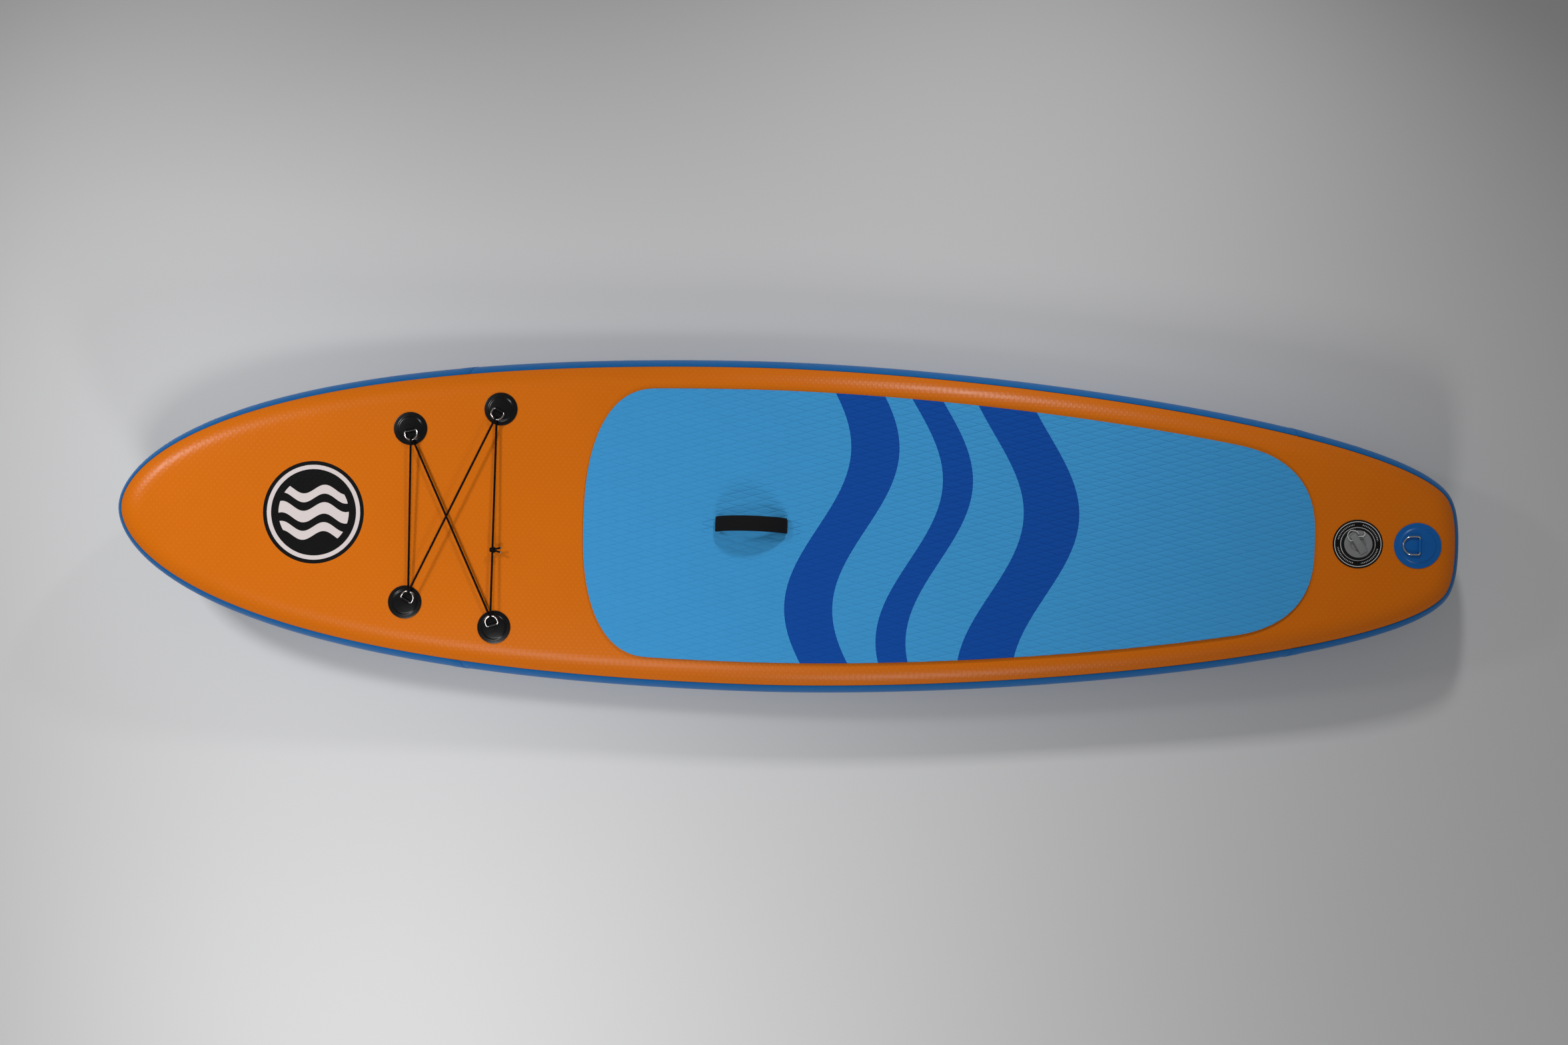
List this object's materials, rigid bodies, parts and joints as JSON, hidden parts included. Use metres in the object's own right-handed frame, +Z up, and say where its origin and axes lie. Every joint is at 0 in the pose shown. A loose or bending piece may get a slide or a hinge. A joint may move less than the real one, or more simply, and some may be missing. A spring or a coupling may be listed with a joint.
{
  "type": "inflatable stand-up paddle board",
  "caption": "Inflatable stand-up paddle board with deck pad, carry handle, laced shock cord on ringed patches, capped valve, leash ring and fin box.",
  "frame": {"origin": "centre of the footprint on the floor plane, under the flat middle of the bottom", "axes": "+X from nose to tail, +Y to the board's starboard side, +Z up from bottom to deck"},
  "size_m": [3.2, 0.8136, 0.2826],
  "materials": {
    "skin_orange": "coated fabric, orange, fine weave print",
    "skin_blue": "coated fabric, blue",
    "rail_band": "coated fabric band, blue, satin",
    "side_wall": "coated fabric, black, hidden",
    "drop_stitch": "polyester thread, off-white, as solid blocks",
    "pad_foam": "closed-cell foam, light blue with darker bands, matt",
    "webbing": "woven strap, black",
    "neoprene": "padded grip, black, matt",
    "patch_black": "moulded patch, black, satin",
    "patch_blue": "moulded patch, deep blue, satin",
    "ring_steel": "polished stainless steel",
    "spring_steel": "spring wire",
    "shock_cord": "sheathed elastic cord, black",
    "valve_label": "printed ring, black with pale circles",
    "valve_black": "moulded plastic, black",
    "valve_grey": "moulded plastic, grey",
    "valve_seal": "soft rubber",
    "tether": "clear-pale plastic line",
    "fin_box": "moulded plastic, black"
  },
  "bodies": {
    "board": {"deck_skin": "skin_orange", "bottom_skin": "skin_blue", "rail_band_nose": "rail_band", "rail_band_starboard": "rail_band", "rail_band_tail": "rail_band", "rail_band_port": "rail_band", "side_wall": "side_wall", "drop_stitch_nose_1": "drop_stitch", "drop_stitch_nose_2": "drop_stitch", "drop_stitch_nose_3": "drop_stitch", "drop_stitch_nose_4": "drop_stitch", "drop_stitch_nose_5": "drop_stitch", "drop_stitch_middle": "drop_stitch", "drop_stitch_rear_1": "drop_stitch", "drop_stitch_rear_2": "drop_stitch", "drop_stitch_rear_3": "drop_stitch", "drop_stitch_valve_starboard": "drop_stitch", "drop_stitch_valve_port": "drop_stitch", "drop_stitch_tail": "drop_stitch", "deck_pad": "pad_foam", "handle_patch_front": "pad_foam", "handle_patch_rear": "pad_foam", "handle_webbing": "webbing", "handle_grip": "neoprene", "front_starboard_backing": "patch_black", "front_starboard_cover": "patch_black", "front_starboard_tab": "patch_black", "rear_starboard_backing": "patch_black", "rear_starboard_cover": "patch_black", "rear_starboard_tab": "patch_black", "front_port_backing": "patch_black", "front_port_cover": "patch_black", "front_port_tab": "patch_black", "rear_port_backing": "patch_black", "rear_port_cover": "patch_black", "rear_port_tab": "patch_black", "leash_backing": "patch_black", "leash_cover": "patch_blue", "leash_tab": "patch_blue", "bungee_cord": "shock_cord", "bungee_knot": "shock_cord", "valve_label": "valve_label", "valve_body": "valve_black", "valve_nut": "valve_black", "valve_stem_guide": "valve_grey", "valve_spring": "spring_steel", "fin_box_patch": "skin_blue", "fin_box": "fin_box"},
    "front_starboard_ring": {"front_starboard_ring": "ring_steel"},
    "rear_starboard_ring": {"rear_starboard_ring": "ring_steel"},
    "front_port_ring": {"front_port_ring": "ring_steel"},
    "rear_port_ring": {"rear_port_ring": "ring_steel"},
    "leash_ring": {"leash_ring": "ring_steel"},
    "cap_lift": {"valve_cap_seal": "valve_seal"},
    "cap": {"valve_cap": "valve_grey", "valve_tether": "tether"},
    "stem": {"valve_stem": "valve_grey", "valve_stem_seal": "valve_seal"}
  },
  "joints": [
    {"name": "front_starboard_ring_swing", "type": "hinge", "parent": "board", "child": "front_starboard_ring", "pos_m": [-0.91286, 0.20468, 0.1897], "axis": [-0.9652, -0.2419, 0.0992], "range_deg": [-17, 60], "deforming": ["bungee_cord"]},
    {"name": "rear_starboard_ring_swing", "type": "hinge", "parent": "board", "child": "rear_starboard_ring", "pos_m": [-0.70214, 0.25974, 0.17194], "axis": [-0.8728, 0.4848, 0.0569], "range_deg": [-17, 60], "deforming": ["bungee_cord"]},
    {"name": "front_port_ring_swing", "type": "hinge", "parent": "board", "child": "front_port_ring", "pos_m": [-0.91129, -0.20535, 0.18954], "axis": [0.8436, -0.5299, -0.0867], "range_deg": [-17, 60], "deforming": ["bungee_cord"]},
    {"name": "rear_port_ring_swing", "type": "hinge", "parent": "board", "child": "rear_port_ring", "pos_m": [-0.70136, -0.25938, 0.17189], "axis": [0.9377, 0.342, -0.0612], "range_deg": [-17, 60], "deforming": ["bungee_cord"]},
    {"name": "leash_ring_swing", "type": "hinge", "parent": "board", "child": "leash_ring", "pos_m": [1.48739, 0, 0.19393], "axis": [0, 1, 0], "range_deg": [0, 150]},
    {"name": "cap_lift", "type": "slide", "parent": "board", "child": "cap_lift", "axis": [-0.065, 0, 0.9979], "range_m": [0, 0.04]},
    {"name": "cap_turn", "type": "hinge", "parent": "cap_lift", "child": "cap", "pos_m": [1.35, 0, 0.17632], "axis": [-0.065, 0, 0.9979], "range_deg": [-90, 0]},
    {"name": "stem_push", "type": "slide", "parent": "board", "child": "stem", "axis": [0.065, 0, -0.9979], "range_m": [0, 0.004], "stiffness_N_per_m": 600, "springref_m": -0.003, "deforming": ["valve_spring"]}
  ]
}
